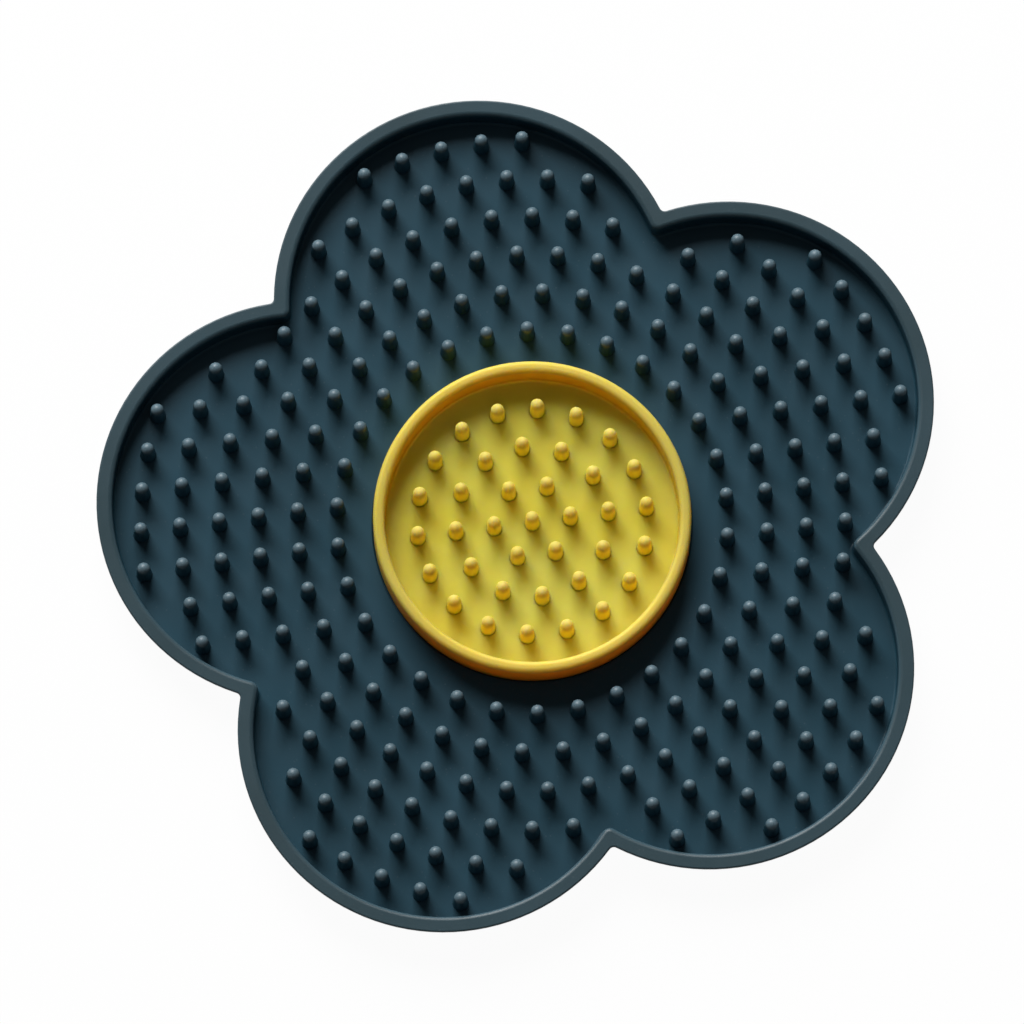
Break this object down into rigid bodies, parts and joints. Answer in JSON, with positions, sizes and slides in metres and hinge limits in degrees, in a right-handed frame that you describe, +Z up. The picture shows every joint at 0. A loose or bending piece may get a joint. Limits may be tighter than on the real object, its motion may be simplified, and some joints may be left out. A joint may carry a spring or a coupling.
{
  "type": "lick mat",
  "caption": "Flower-shaped silicone lick mat: a dark petalled tray with a raised rim and rings of domed nubs, and a round yellow dish of nubs seated in its middle.",
  "frame": {"origin": "the middle of the nub rings and of the dish, on the tray's flat underside", "axes": "+Z up out of the tray, one petal points to -Y and one notch to +Y, and the mat mirrors left to right across the YZ plane"},
  "size_m": [0.2124, 0.207, 0.013],
  "materials": {
    "tray_silicone": "satin moulded silicone, dark slate blue",
    "dish_silicone": "satin moulded silicone, warm yellow"
  },
  "bodies": {
    "tray": {"tray_base": "tray_silicone", "tray_rim": "tray_silicone", "tray_nubs": "tray_silicone"},
    "dish": {"dish_shell": "dish_silicone", "dish_nubs": "dish_silicone"}
  },
  "joints": [
    {"name": "dish_lift", "type": "slide", "parent": "tray", "child": "dish", "axis": [0, 0, 1], "range_m": [0, 0.02]}
  ]
}
